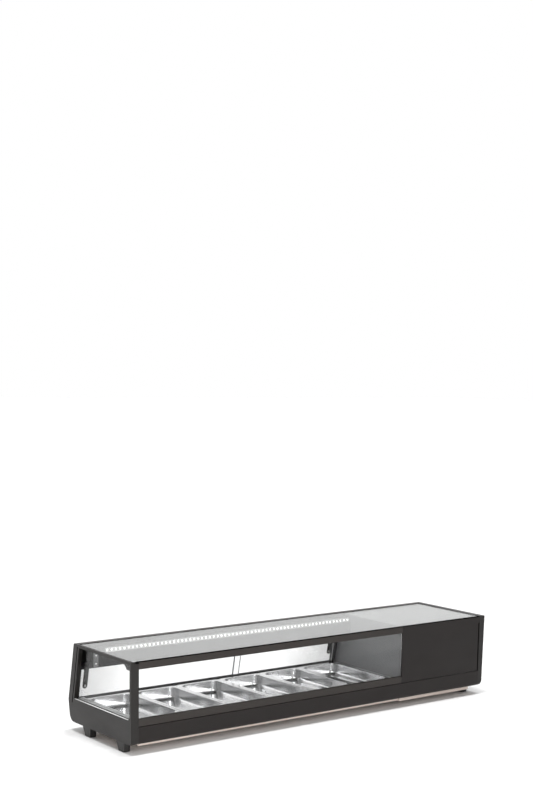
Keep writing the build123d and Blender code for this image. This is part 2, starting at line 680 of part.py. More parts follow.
def fan_blade():
    """Five pitched blades on a hub that turns on the motor's shaft."""
    centre_y = (FAN_Y[0] + FAN_Y[1]) / 2
    hub = Cylinder(15, 14)
    blade = Pos(39, 0, 0) * Rot(28, 0, 0) * Box(58, 26, 1.6)
    tip = Cylinder(FAN_R, 40)
    wheel = hub
    for k in range(5):
        wheel += Rot(0, 0, 72 * k) * blade
    wheel = (wheel & tip) - Cylinder(SHAFT_R + 0.06, 40)
    return Pos(FAN[0], centre_y, FAN[1]) * Rot(90, 0, 0) * wheel


def filter_drier():
    body = Cylinder(9.5, 90)
    ends = Cylinder(3, 110)
    return Pos(1420, 120, 80) * (fillet(body.edges(), 4) + ends)


def refrigerant_pipes():
    """Copper lines from the compressor to the condenser, and from the drier to the cold well."""
    start = Vector(COMPRESSOR[0] + 30, COMPRESSOR[1], TRAY_TOP + MOUNT_H + 149)
    above = start + Vector(0, 0, 17)
    hot = [start, above, (1392, above.Y, above.Z), (1392, 305, above.Z), (FAN[0] + 85.2, 305, above.Z)]
    cold = [(1420, 120, 135), (1420, 120, 165), (1450, 120, 165), (1450, 180, 165)]
    pipes = []
    for run in (hot, cold):
        path = FilletPolyline(*run, radius=8)
        heading = Vector(run[1]) - Vector(run[0])
        pipes.append(sweep(Plane(origin=run[0], z_dir=heading) * Circle(3), path=path))
    return pipes


# ---- controls on the rear cover -----------------------------------------------------------------
BEZEL = (78.0, 36.0, 2.0)
BUTTON_U = THERMOSTAT[1] - 9.0
BUTTON_X = {"set": THERMOSTAT[0] - 22.0, "down": THERMOSTAT[0] - 2.0, "up": THERMOSTAT[0] + 18.0}
BUTTON = (11.0, 5.0, 2.6)


def thermostat_body():
    bezel = Pos(*THERMOSTAT, -BEZEL[2] / 2) * Box(*BEZEL)
    bezel = fillet(bezel.edges().filter_by(Axis.Z), 3)
    case = Pos(*THERMOSTAT, 29) * Box(70.8, 28.8, 58)
    body = bezel + case
    body -= Pos(THERMOSTAT[0], THERMOSTAT[1] + 4.5, -BEZEL[2]) * Box(46, 15, 2)
    for x in BUTTON_X.values():
        body -= Pos(x, BUTTON_U, -BEZEL[2]) * Box(BUTTON[0] + 2 * RUN_GAP, BUTTON[1] + 2 * RUN_GAP, 6.4)
    return REAR * body


def thermostat_display():
    return REAR * (Pos(THERMOSTAT[0], THERMOSTAT[1] + 4.5, -BEZEL[2] + 0.45) * Box(45.6, 14.6, 0.9))


def thermostat_button(x):
    key = Pos(x, BUTTON_U, -BEZEL[2] - 0.2 + BUTTON[2] / 2 - 0.4) * Box(*BUTTON)
    return REAR * fillet(key.edges().filter_by(Axis.Z), 1.2)


ROCKER_PIVOT_W = 1.0     # the pivot lies this far inside the cover's outer face
ROCKER_TILT = 8.0
ROCKER_PIN_R = 1.2


def rocker_pivot(radius, length):
    """Cylinder along the slope on the rocker's pivot."""
    return Pos(*SWITCH, ROCKER_PIVOT_W) * Rot(90, 0, 0) * Cylinder(radius, length)


def rocker_frame():
    frame = Pos(*SWITCH, -1) * Box(32, 26, 2)
    frame = fillet(frame.edges().filter_by(Axis.Z), 2)
    case = Pos(*SWITCH, 9) * Box(27, 21, 18)
    well = Pos(SWITCH[0], SWITCH[1], 3.5) * Box(23, 15, 13.4)
    return REAR * (frame + case - well - rocker_pivot(ROCKER_PIN_R + 0.06, 18.6))


def power_rocker():
    """Rocker with a pin at each side that it tips about, shown pressed at its left side."""
    body = Box(20, 14, 5)
    dished = Pos(0, 0, -22) * Rot(90, 0, 0) * Cylinder(20, 40)
    key = Pos(*SWITCH, ROCKER_PIVOT_W) * Rot(0, ROCKER_TILT, 0) * (body - dished)
    return REAR * (key + rocker_pivot(ROCKER_PIN_R, 18.0))


def mains_gland():
    """Cable gland with an open bore; the cable itself is not part of the case."""
    nut = Pos(0, 0, 5.6) * extrude(RegularPolygon(11, 6), 4, both=True)
    neck = Cylinder(7.5, 16, align=ON_BASE)
    dome = Pos(0, 0, -5) * Cylinder(9.5, 5, align=ON_BASE)
    dome = fillet(dome.edges().group_by(Axis.Z)[0], 2.5)
    return REAR * (Pos(*GLAND, 0) * (dome + neck + Pos(0, 0, 0.5) * nut - Cylinder(3.7, 60)))


# ---- build --------------------------------------------------------------------------------------
os.makedirs("parts", exist_ok=True)

SINGLE_PIECES = [
    left_end_frame, right_end_panel, front_top_rail, front_sill_rail, front_lower_panel,
    motor_front_panel, rear_lower_panel, motor_rear_cover, motor_top_plate, motor_base_tray,
    tank_floor_panel, partition_panel, rear_top_rail, rear_top_beam, top_glass, front_glass, side_glass,
    front_corner_gusset, well_liner, well_insulation, air_grille_left, evaporator_coil, led_channel,
    led_board, door_track_bottom, door_track_top, door_left, door_left_edge, door_right,
    door_right_edge, compressor, condenser_coil, fan_shroud, fan_motor, fan_blade, filter_drier,
    thermostat_body, thermostat_display, rocker_frame, power_rocker, mains_gland,
]
GROUPS = [
    top_glass_seal, pan_divider_bars, led_chips, door_end_posts, hanging_arms, arm_screws, feet,
    panel_screws, compressor_mounts, refrigerant_pipes,
]

for make in SINGLE_PIECES:
    save(make.__name__, make())
for make in GROUPS:
    save(make.__name__, *make())
for number in range(PAN_COUNT):
    save(f"pan_{number + 1}", pan(number))
for label, position in BUTTON_X.items():
    save(f"thermostat_button_{label}", thermostat_button(position))
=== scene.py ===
import json
import math

import bpy
from mathutils import Matrix, Vector


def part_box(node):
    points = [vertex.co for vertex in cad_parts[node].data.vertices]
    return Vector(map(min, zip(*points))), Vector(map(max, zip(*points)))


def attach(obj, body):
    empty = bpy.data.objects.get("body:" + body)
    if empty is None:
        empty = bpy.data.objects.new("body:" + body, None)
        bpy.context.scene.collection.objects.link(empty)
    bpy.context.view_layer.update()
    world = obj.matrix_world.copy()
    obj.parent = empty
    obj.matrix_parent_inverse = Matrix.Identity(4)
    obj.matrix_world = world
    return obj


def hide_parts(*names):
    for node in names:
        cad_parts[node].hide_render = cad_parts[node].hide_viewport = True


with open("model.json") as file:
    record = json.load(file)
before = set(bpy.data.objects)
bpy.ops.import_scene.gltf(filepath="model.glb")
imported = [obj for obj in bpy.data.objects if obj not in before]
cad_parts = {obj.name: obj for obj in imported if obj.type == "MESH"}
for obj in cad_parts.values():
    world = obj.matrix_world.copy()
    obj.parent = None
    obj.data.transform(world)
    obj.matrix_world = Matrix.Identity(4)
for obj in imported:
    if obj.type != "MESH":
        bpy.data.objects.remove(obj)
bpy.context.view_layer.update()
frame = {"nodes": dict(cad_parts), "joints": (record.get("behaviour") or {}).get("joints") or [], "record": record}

MM = 0.001

# Directions of the sloping rear, read from the joints: up the slope and inwards through it.
JOINTS = {joint["name"]: joint for joint in frame["joints"]}
ALONG = Vector((1, 0, 0))
UP_SLOPE = Vector(JOINTS["pan_1_lift"]["axis"]).normalized()
INWARD = Vector(JOINTS["set_button_press"]["axis"]).normalized()
UPRIGHT = Vector((0, 0, 1))
FORWARD = Vector((0, -1, 0))
LYING = (ALONG, Vector((0, 1, 0)), UPRIGHT)
FACING_FRONT = (ALONG, UPRIGHT, FORWARD)
DOORS_X = (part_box("door_left")[0].x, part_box("door_right")[1].x)


# ---- camera --------------------------------------------------------------------------------------
CAMERA_PLACE = Vector((-2.9143, -3.6917, 1.1768))
CAMERA_YAW, CAMERA_PITCH, CAMERA_ROLL = 37.262, 7.480, 0.951
CAMERA_LENS = 62.38
CAMERA_SHIFT_Y = 0.1875
CAMERA_CLIP_START = 0.05


def make_camera():
    """Camera at the photograph's viewing angle: yaw from +y towards +x, pitch down, roll to the right."""
    yaw, pitch, roll = (math.radians(a) for a in (CAMERA_YAW, CAMERA_PITCH, CAMERA_ROLL))
    ahead = Vector((math.sin(yaw) * math.cos(pitch), math.cos(yaw) * math.cos(pitch), -math.sin(pitch)))
    level = Vector((math.cos(yaw), -math.sin(yaw), 0))
    over = level.cross(ahead)
    right = level * math.cos(roll) + over * math.sin(roll)
    top = over * math.cos(roll) - level * math.sin(roll)
    camera = bpy.data.objects.new("camera", bpy.data.cameras.new("camera"))
    turn = Matrix((right, top, -ahead)).transposed().to_4x4()
    camera.matrix_world = Matrix.Translation(CAMERA_PLACE) @ turn
    camera.data.lens = CAMERA_LENS
    camera.data.shift_y = CAMERA_SHIFT_Y
    camera.data.clip_start = CAMERA_CLIP_START
    bpy.context.scene.collection.objects.link(camera)
    bpy.context.scene.camera = camera


# ---- material helpers ----------------------------------------------------------------------------
NOISE_ROUGHNESS = 0.55
MIX_FACTOR, MIX_A, MIX_B, MIX_RESULT = 0, 6, 7, 2  # sockets of a Mix node that mixes colours


class Material:
    """A node material around one Principled shader, with short calls for the usual nodes."""

    def __init__(self, name, **plain):
        self.made = bpy.data.materials.new(name)
        self.made.use_nodes = True
        self.tree = self.made.node_tree
        self.shader = self.tree.nodes["Principled BSDF"]
        self.output = self.tree.nodes["Material Output"]
        for socket, value in plain.items():
            self.shader.inputs[socket.replace("_", " ")].default_value = value
        self.place = self.add("ShaderNodeTexCoord").outputs["Object"]

    def add(self, kind, **settings):
        """New node of a kind, with its properties set."""
        node = self.tree.nodes.new(kind)
        for key, value in settings.items():
            setattr(node, key, value)
        return node

    def join(self, source, target):
        self.tree.links.new(source, target)

    def scaled(self, scale):
        """Coordinates stretched by scale, one number for each axis."""
        node = self.add("ShaderNodeMapping")
        self.join(self.place, node.inputs["Vector"])
        node.inputs["Scale"].default_value = scale
        return node.outputs["Vector"]

    def noise(self, scale, detail, stretch=(1, 1, 1), distortion=0.0):
        node = self.add("ShaderNodeTexNoise")
        self.join(self.scaled(stretch), node.inputs["Vector"])
        node.inputs["Scale"].default_value = scale
        node.inputs["Detail"].default_value = detail
        node.inputs["Roughness"].default_value = NOISE_ROUGHNESS
        node.inputs["Distortion"].default_value = distortion
        return node.outputs["Fac"]

    def ramp(self, factor, stops):
        """Colour ramp; each stop is (position, grey or colour)."""
        node = self.add("ShaderNodeValToRGB")
        band = node.color_ramp
        while len(band.elements) < len(stops):
            band.elements.new(0.5)
        for element, (position, colour) in zip(band.elements, stops):
            element.position = position
            grey = isinstance(colour, (int, float))
            element.color = (colour, colour, colour, 1) if grey else (*colour, 1)
        self.join(factor, node.inputs["Fac"])
        return node.outputs["Color"]

    def spread(self, factor, low, high, start=0.3, end=0.7):
        """Factor mapped from start..end to low..high."""
        node = self.add("ShaderNodeMapRange")
        self.join(factor, node.inputs["Value"])
        for socket, value in (("From Min", start), ("From Max", end), ("To Min", low), ("To Max", high)):
            node.inputs[socket].default_value = value
        return node.outputs["Result"]

    def maths(self, operation, a, b):
        """Result of a maths node; a and b are sockets or numbers."""
        node = self.add("ShaderNodeMath", operation=operation)
        for socket, value in zip(node.inputs, (a, b)):
            if isinstance(value, (int, float)):
                socket.default_value = value
            else:
                self.join(value, socket)
        return node.outputs[0]

    def mix(self, factor, a, b, blend="MIX"):
        """Blend of two colours; each value is a socket, a number or a colour."""
        node = self.add("ShaderNodeMix", data_type="RGBA", blend_type=blend)
        for place, value in ((MIX_FACTOR, factor), (MIX_A, a), (MIX_B, b)):
            socket = node.inputs[place]
            if isinstance(value, (int, float)):
                socket.default_value = value
            elif isinstance(value, tuple):
                socket.default_value = (*value, 1)
            else:
                self.join(value, socket)
        return node.outputs[MIX_RESULT]

    def bump(self, height, distance, under=None):
        """Normals shifted by a height over a distance in metres, on top of other normals where given."""
        node = self.add("ShaderNodeBump")
        self.join(height, node.inputs["Height"])
        node.inputs["Distance"].default_value = distance
        if under is not None:
            self.join(under, node.inputs["Normal"])
        return node.outputs["Normal"]

    def set(self, **sources):
        """Joins sources to the shader's sockets, and gives the finished material."""
        for socket, source in sources.items():
            self.join(source, self.shader.inputs[socket.replace("_", " ")])
        return self.made


def lighter(colour, share):
    """Colour times a share, each channel at most 1."""
    return tuple(min(1.0, share * channel) for channel in colour)


def powder_coat(name, dark, light, roughness=(0.34, 0.46), grain=0.00005, gloss=0.5):
    """Satin powder coat: fine orange peel, soft cloudiness and a few paler dust marks."""
    m = Material(name, Specular_IOR_Level=gloss)
    cloud = m.noise(3.2, detail=2, stretch=(1, 1, 2))
    peel = m.noise(520, detail=2)
    dust = m.noise(1700, detail=1)
    colour = m.ramp(cloud, [(0.3, dark), (0.7, light)])
    speck = m.spread(dust, 0.0, 0.35, 0.68, 0.8)
    colour = m.mix(speck, colour, lighter(light, 2.2))
    smear = m.noise(14, detail=4, stretch=(0.5, 0.5, 1.6))
    return m.set(
        Base_Color=colour,
        Roughness=m.spread(smear, *roughness),
        Normal=m.bump(peel, grain),
    )


def brushed_metal(name, dark, light, roughness, stretch, fine=900, ripple=0.00002, wave=0.0):
    """Metal with fine drawn lines along one axis, faint smears and, where asked, slow waves."""
    m = Material(name, Metallic=1.0)
    lines = m.noise(fine, detail=2, stretch=stretch)
    smear = m.noise(9, detail=4, distortion=0.4)
    drawn = m.ramp(lines, [(0.35, dark), (0.65, light)])
    colour = m.mix(0.5, drawn, m.ramp(smear, [(0.3, dark), (0.7, light)]))
    rough = m.maths("ADD", m.spread(lines, *roughness), m.spread(smear, 0.0, 0.06))
    normal = m.bump(lines, ripple)
    if wave:
        normal = m.bump(m.noise(16, detail=1), wave, under=normal)
    return m.set(Base_Color=colour, Roughness=rough, Normal=normal)


def moulded_plastic(name, colour, roughness=(0.42, 0.55), scale=900, grain=0.00004, **plain):
    """Moulded plastic with a fine spark-eroded texture and faint flow marks."""
    m = Material(name, **plain)
    texture = m.noise(scale, detail=2)
    flow = m.noise(7, detail=3, stretch=(1, 1, 3))
    return m.set(
        Base_Color=m.ramp(flow, [(0.3, lighter(colour, 0.85)), (0.7, lighter(colour, 1.15))]),
        Roughness=m.spread(texture, *roughness),
        Normal=m.bump(texture, grain),
    )


def clear_sheet(name, tint, roughness, smears, index=1.45, ends=()):
    """Clear pane with faint wipe marks, and painted shade that darkens it where the stops in ends say so.

    Shadow rays and diffuse rays pass straight through it, tinted.
    """
    m = Material(name, Transmission_Weight=1.0, IOR=index)
    wipe = m.noise(6, detail=4, stretch=(1, 0.3, 0.4), distortion=0.6)
    colour = m.ramp(wipe, [(0.3, tint), (0.7, lighter(tint, 1.02))])
    # Painted shade: the sheet's colour darkened towards the doors' ends by the stops in ends.
    if ends:
        parts = m.add("ShaderNodeSeparateXYZ")
        m.join(m.place, parts.inputs[0])
        across = m.spread(parts.outputs["X"], 0.0, 1.0, DOORS_X[0], DOORS_X[1])
        colour = m.mix(1.0, colour, m.ramp(across, ends), blend="MULTIPLY")
    m.set(
        Base_Color=colour,
        Roughness=m.spread(wipe, roughness, roughness + smears, 0.55, 0.8),
    )
    path = m.add("ShaderNodeLightPath")
    passes = m.maths("MAXIMUM", path.outputs["Is Shadow Ray"], path.outputs["Is Diffuse Ray"])
    through = m.add("ShaderNodeBsdfTransparent")
    through.inputs["Color"].default_value = (*tint, 1)
    choice = m.add("ShaderNodeMixShader")
    m.join(passes, choice.inputs[0])
    m.join(m.shader.outputs[0], choice.inputs[1])
    m.join(through.outputs[0], choice.inputs[2])
    m.join(choice.outputs[0], m.output.inputs["Surface"])
    return m.made


def lit(name, colour, strength):
    """Glowing part with a slightly uneven surface."""
    m = Material(name, Roughness=0.3, Emission_Strength=strength)
    spots = m.noise(700, detail=1)
    shade = m.ramp(spots, [(0.3, lighter(colour, 0.92)), (0.7, colour)])
    return m.set(Base_Color=shade, Emission_Color=shade)


# Share of the way across both doors, and the painted shade there: the share of the sheet's colour that is kept.
DOOR_PAINTED_SHADE = [
    (0.0, 0.58),
    (0.06, 0.66),
    (0.19, 1.0),
    (0.76, 1.0),
    (0.887, 0.7),
    (0.955, 0.57),
    (1.0, 0.52),
]


def make_materials():
    """Every material of the case, by name."""
    return {
        "black_paint": powder_coat(
            "black_paint", (0.0105, 0.0088, 0.0078), (0.014, 0.0118, 0.0105), gloss=0.31,
        ),
        # Lighter copy of the black paint for the rails: painted light.
        "rail_paint_painted_light": powder_coat(
            "rail_paint_painted_light", (0.019, 0.0145, 0.012), (0.024, 0.0185, 0.0155), gloss=0.36,
        ),
        # Darker copy of the black paint for the motor and lower front panels: painted shade.
        "panel_paint_painted_shade": powder_coat(
            "panel_paint_painted_shade", (0.0095, 0.0068, 0.006), (0.012, 0.0085, 0.0075), gloss=0.26,
        ),
        # Darker copy of the black paint for the beam, arms and posts inside the case: painted shade.
        "inner_paint_painted_shade": powder_coat(
            "inner_paint_painted_shade", (0.008, 0.0072, 0.007), (0.011, 0.0098, 0.0095), gloss=0.2,
        ),
        "grey_plate": powder_coat("grey_plate", (0.13, 0.13, 0.13), (0.15, 0.15, 0.15), (0.35, 0.5)),
        "cream_paint": powder_coat("cream_paint", (0.52, 0.44, 0.39), (0.6, 0.51, 0.455), (0.4, 0.5)),
        "dark_gloss": powder_coat(
            "dark_gloss", (0.12, 0.12, 0.122), (0.145, 0.145, 0.147), (0.06, 0.1), 0.00001,
        ),
        "stainless": brushed_metal(
            "stainless", (0.7, 0.7, 0.705), (0.82, 0.82, 0.825), (0.11, 0.17), (1, 0.06, 1),
            ripple=0.00001, wave=0.00012,
        ),
        "stainless_sheet": brushed_metal(
            "stainless_sheet", (0.6, 0.6, 0.6), (0.74, 0.74, 0.745), (0.24, 0.36), (0.06, 1, 1),
        ),
        "lamp_aluminium": brushed_metal(
            "lamp_aluminium", (0.7, 0.7, 0.7), (0.82, 0.82, 0.82), (0.3, 0.42), (0.04, 1, 1),
        ),
        "coil_aluminium": brushed_metal(
            "coil_aluminium", (0.5, 0.5, 0.5), (0.68, 0.68, 0.68), (0.35, 0.5), (0.05, 1, 1),
        ),
        "fan_aluminium": brushed_metal(
            "fan_aluminium", (0.52, 0.52, 0.53), (0.66, 0.66, 0.67), (0.3, 0.45), (1, 1, 0.1),
        ),
        "screw_steel": brushed_metal(
            "screw_steel", (0.62, 0.62, 0.6), (0.82, 0.82, 0.8), (0.14, 0.24), (1, 1, 1), fine=1500,
        ),
        "copper": brushed_metal(
            "copper", (0.5, 0.24, 0.13), (0.72, 0.4, 0.25), (0.25, 0.4), (0.1, 1, 1),
        ),
        "clear_glass": clear_sheet("clear_glass", (0.955, 0.97, 0.965), 0.0, 0.02),
        "coated_glass": clear_sheet("coated_glass", (0.97, 0.975, 0.975), 0.0, 0.015, index=1.18),
        "clear_acrylic": clear_sheet("clear_acrylic", (0.985, 0.985, 0.985), 0.0, 0.02, ends=DOOR_PAINTED_SHADE),
        "acrylic_edge": moulded_plastic("acrylic_edge", (0.14, 0.14, 0.145), (0.1, 0.25)),
        "rubber_seal": moulded_plastic(
            "rubber_seal", (0.004, 0.004, 0.004), (0.55, 0.75), 500, 0.0001, Specular_IOR_Level=0.06,
        ),
        "foam": moulded_plastic("foam", (0.72, 0.62, 0.38), (0.8, 0.95), 350, 0.0006),
        "grille": moulded_plastic("grille", (0.5, 0.5, 0.5), (0.25, 0.4)),
        # White stands in for the bright line of the strip's reflection: painted highlight.
        "trim_painted_highlight": moulded_plastic("trim_painted_highlight", (0.82, 0.82, 0.82), (0.2, 0.35)),
        "lamp_board": moulded_plastic("lamp_board", (0.3, 0.3, 0.29), (0.3, 0.45), 1500, 0.00001),
        "lamp_light": lit("lamp_light", (1.0, 0.985, 0.95), 5.5),
        "strap_steel": brushed_metal(
            "strap_steel", (0.1, 0.1, 0.1), (0.14, 0.14, 0.14), (0.3, 0.4), (1, 1, 0.05),
        ),
        "track_plastic": moulded_plastic(
            "track_plastic", (0.008, 0.008, 0.008), (0.35, 0.5), Specular_IOR_Level=0.12,
        ),
        "foot_plastic": moulded_plastic(
            "foot_plastic", (0.02, 0.019, 0.018), (0.45, 0.6), 600, 0.00008,
        ),
        "machine_black": powder_coat(
            "machine_black", (0.016, 0.016, 0.016), (0.024, 0.024, 0.024), (0.2, 0.35),
        ),
        "control_plastic": moulded_plastic("control_plastic", (0.02, 0.02, 0.022)),
        "display": moulded_plastic("display", (0.05, 0.004, 0.004), (0.05, 0.12), 300, 0.000004),
        "display_digits": lit("display_digits", (1.0, 0.06, 0.03), 5.0),
        "button_plastic": moulded_plastic("button_plastic", (0.2, 0.2, 0.205)),
        "rocker_green": moulded_plastic(
            "rocker_green", (0.02, 0.22, 0.06), (0.08, 0.18), 300, 0.000004,
        ),
    }


# Nodes whose finish differs from the material slot that their record names; the rails, the motor and lower front
# panels and the inner beam, arms and posts get lighter or darker copies of the black paint as painted light and
# shade.
OTHER_FINISH_AND_PAINTED_LIGHT = {
    "well_liner": "stainless_sheet", "pan_divider_bars": "stainless_sheet", "side_glass": "coated_glass",
    "front_top_rail": "rail_paint_painted_light", "front_sill_rail": "rail_paint_painted_light", "rear_top_rail": "rail_paint_painted_light",
    "motor_front_panel": "panel_paint_painted_shade", "front_lower_panel": "panel_paint_painted_shade",
    "rear_top_beam": "inner_paint_painted_shade", "hanging_arms": "inner_paint_painted_shade", "door_end_posts": "inner_paint_painted_shade",
}


def paint_cad_nodes(materials):
    """Gives every CAD node its material."""
    for part in frame["record"]["subparts"]:
        node = frame["nodes"][part["node"]]
        name = OTHER_FINISH_AND_PAINTED_LIGHT.get(part["node"], part["material_slot"])
        node.data.materials.clear()
        node.data.materials.append(materials[name])


# ---- mesh helpers --------------------------------------------------------------------------------
def span(node, direction):
    """Lowest and highest distance of a CAD node's points along a direction, in the row frame."""
    found = [v.co.dot(direction) for v in frame["nodes"][node].data.vertices]
    return min(found), max(found)


def rounded_ring(half_x, half_y, radius, steps):
    """Points round a rectangle with rounded corners, counter-clockwise from the +x side."""
    corners = ((1, 1, 0), (-1, 1, 90), (-1, -1, 180), (1, -1, 270))
    points = []
    for side_x, side_y, first in corners:
        for step in range(steps + 1):
            angle = math.radians(first + 90 * step / steps)
            x = side_x * (half_x - radius) + radius * math.cos(angle)
            y = side_y * (half_y - radius) + radius * math.sin(angle)
            points.append((x, y))
    return points


def arc(centre, radius, start, end, steps):
    """Points of an arc in a profile's plane, angles in degrees."""
    angles = [math.radians(start + (end - start) * k / steps) for k in range(steps + 1)]
    return [(centre[0] + radius * math.cos(a), centre[1] + radius * math.sin(a)) for a in angles]


EDGE_STEPS = 3
FEW_STEPS = 2  # round the corners of the smallest plates
TIGHTEST_CORNER = 0.2 * MM


class Build:
    """Gathers the faces of one piece, which may hold several shapes and materials."""

    def __init__(self):
        self.points, self.faces, self.finish = [], [], []

    def loft(self, rings, finish=0):
        """Closed skin over rings of equally many points, with a face across both ends."""
        start, count = len(self.points), len(rings[0])
        self.points += [point for ring in rings for point in ring]
        before = len(self.faces)
        for low in range(len(rings) - 1):
            a = start + low * count
            for k in range(count):
                n = (k + 1) % count
                self.faces.append((a + k, a + n, a + count + n, a + count + k))
        last = start + (len(rings) - 1) * count
        self.faces.append(tuple(start + k for k in reversed(range(count))))
        self.faces.append(tuple(last + k for k in range(count)))
        self.finish += [finish] * (len(self.faces) - before)

    def slab(self, centre, axes, half, thickness, rounding, finish=0, steps=5):
        """Plate with rounded corners and edges; axes are its two sides and its normal.

        The axes are right-handed, so that the faces look outwards. The rounding is the radius of the
        corners and that of the edges.
        """
        side_x, side_y, normal = axes
        corner, edge = rounding[0], min(rounding[1], thickness / 2)
        low = arc((edge, edge), edge, 270, 180, EDGE_STEPS)
        profile = low + [(inset, thickness - depth) for inset, depth in reversed(low)]
        rings = []
        for inset, depth in profile:
            radius = max(corner - inset, TIGHTEST_CORNER)
            ring = rounded_ring(half[0] - inset, half[1] - inset, radius, steps)
            level = centre + normal * (depth - thickness / 2)
            rings.append([level + side_x * x + side_y * y for x, y in ring])
        self.loft(rings, finish)

    def finish_as(self, name, body, materials, replaces=(), sharp=35.0):
        """Makes the piece, smooth but for edges above sharp degrees, and has it ride its body."""
        mesh = bpy.data.meshes.new(name)
        mesh.from_pydata([tuple(p) for p in self.points], [], self.faces)
        mesh.validate()
        for material in materials:
            mesh.materials.append(material)
        mesh.polygons.foreach_set("material_index", self.finish)
        mesh.shade_smooth()
        mesh.set_sharp_from_angle(angle=math.radians(sharp))
        piece = bpy.data.objects.new(name, mesh)
        bpy.context.scene.collection.objects.link(piece)
        evened = piece.modifiers.new("even_normals", "WEIGHTED_NORMAL")
        evened.keep_sharp = True
        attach(piece, body)
        if replaces:
            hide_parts(*replaces)


def middle(pair):
    return (pair[0] + pair[1]) / 2


def half(pair):
    return (pair[1] - pair[0]) / 2


def box_of(node):
    """Middle and half size of a CAD node's box."""
    low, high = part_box(node)
    return (low + high) / 2, (high - low) / 2


# ---- food pans -----------------------------------------------------------------------------------
PANS = 6
PAN_SHEET = 0.9 * MM
PAN_RIM_INSET = 11.5 * MM
PAN_RIM_R, PAN_TUB_R = 14.0 * MM, 26.0 * MM  # corner radii seen from above
PAN_CORNER_FALL, PAN_LEAST_CORNER = 0.45, 6 * MM
PAN_FLOOR_R = 10.0 * MM
PAN_TILT = 4  # degrees that the walls lean
PAN_TAPER = math.tan(math.radians(PAN_TILT))
PAN_CROWN = ((75 * MM, 0.25 * MM), (50 * MM, 0.12 * MM), (30 * MM, 0))  # inset, and the floor's rise there
PAN_ROLL, PAN_LIP = 2.0 * MM, 1.0 * MM  # radii of the rim's inner and outer bend
PAN_LIP_FOOT, PAN_LIP_BEND = 2.0 * MM, 1.6 * MM
PAN_WALL_START = 5.5 * MM
PAN_RIM_MIDDLE = 4 * MM
PAN_CORNER_STEPS, PAN_FLOOR_STEPS, PAN_ROLL_STEPS, PAN_LIP_STEPS = 9, 8, 5, 4
PAN_SHARP = 50


def pan_profile(depth):
    """(inset, depth) pairs from the middle of the underside over the rim to the middle of the floor."""
    floor_depth = depth - PAN_SHEET
    wall_top = PAN_RIM_INSET + PAN_SHEET
    wall_foot = wall_top + PAN_TAPER * (floor_depth - PAN_FLOOR_R)
    outer_r = PAN_FLOOR_R + PAN_SHEET
    roll_centre = (wall_top - PAN_ROLL, PAN_ROLL)
    inner = [(inset, floor_depth - rise) for inset, rise in PAN_CROWN]
    inner += arc((wall_foot + PAN_FLOOR_R, floor_depth - PAN_FLOOR_R), PAN_FLOOR_R,
                 90, 180 - PAN_TILT, PAN_FLOOR_STEPS)
    inner += [(wall_top + PAN_TAPER * 2 * PAN_ROLL, PAN_WALL_START)]
    inner += arc(roll_centre, PAN_ROLL, PAN_TILT, -90, PAN_ROLL_STEPS)
    outer_lip = arc((PAN_LIP, PAN_LIP), PAN_LIP, -90, -180, PAN_LIP_STEPS) + [(0, PAN_LIP_FOOT)]
    under = [(PAN_SHEET, PAN_LIP_FOOT), (PAN_SHEET, PAN_SHEET * 1.4), (PAN_LIP_BEND, PAN_SHEET)]
    under += arc(roll_centre, PAN_ROLL - PAN_SHEET, -90, PAN_TILT, PAN_ROLL_STEPS)
    under += arc((wall_foot + PAN_FLOOR_R, depth - outer_r), outer_r, 180 - PAN_TILT, 90, PAN_FLOOR_STEPS)
    under += [(PAN_CROWN[-1][0], depth), (PAN_CROWN[0][0], depth)]
    return (inner + [(PAN_RIM_MIDDLE, 0)] + outer_lip + under)[::-1]


def pan_corner(inset):
    """Corner radius at an inset: tight at the rim, wide at the tub, tighter towards the floor."""
    share = min(inset / PAN_RIM_INSET, 1.0)
    radius = PAN_RIM_R + (PAN_TUB_R - PAN_RIM_R) * share * share
    return max(radius - PAN_CORNER_FALL * max(inset - PAN_RIM_INSET, 0), PAN_LEAST_CORNER)


def make_pan(number, materials):
    centre, size = box_of(f"pan_{number}")
    build = Build()
    rings = []
    for inset, depth in pan_profile(2 * size.z):
        ring = rounded_ring(size.x - inset, size.y - inset, pan_corner(inset), PAN_CORNER_STEPS)
        rings.append([centre + Vector((x, y, size.z - depth)) for x, y in ring])
    build.loft(rings)
    build.finish_as(f"visual_pan_{number}", f"food_pan_{number}", [materials["stainless"]],
                    [f"pan_{number}"], sharp=PAN_SHARP)


# ---- glazing and doors ---------------------------------------------------------------------------
TOP_GLASS_ROUNDING = (2 * MM, 0.9 * MM)
FRONT_GLASS_ROUNDING = (1.5 * MM, 0.7 * MM)
DOOR_ROUNDING, DOOR_TRIM_ROUNDING = (2 * MM, 0.8 * MM), (0.6 * MM, 0.8 * MM)


def make_panes(materials):
    """Top glass and front glass with ground edges."""
    centre, size = box_of("top_glass")
    build = Build()
    build.slab(centre, LYING, (size.x, size.y), 2 * size.z, TOP_GLASS_ROUNDING)
    build.finish_as("visual_top_glass", "case", [materials["clear_glass"]], ["top_glass"])

    centre, size = box_of("front_glass")
    build = Build()
    build.slab(centre, FACING_FRONT, (size.x, size.z), 2 * size.y, FRONT_GLASS_ROUNDING)
    build.finish_as("visual_front_glass", "case", [materials["coated_glass"]],
                    ["front_glass"])


def on_slope(node):
    """A CAD node's middle, and its spans along, up and through the sloping rear."""
    x, u, w = (span(node, direction) for direction in (ALONG, UP_SLOPE, INWARD))
    return ALONG * middle(x) + UP_SLOPE * middle(u) + INWARD * middle(w), x, u, w


def make_door(side, materials):
    """Clear sheet with polished round edges, and the trim on its meeting edge."""
    for node, material, rounding in (
        (f"door_{side}", "clear_acrylic", DOOR_ROUNDING),
        (f"door_{side}_edge", "acrylic_edge", DOOR_TRIM_ROUNDING),
    ):
        centre, x, u, w = on_slope(node)
        build = Build()
        build.slab(centre, (ALONG, UP_SLOPE, INWARD), (half(x), half(u)), 2 * half(w), rounding)
        build.finish_as(f"visual_{node}", f"{side}_door", [materials[material]], [node])


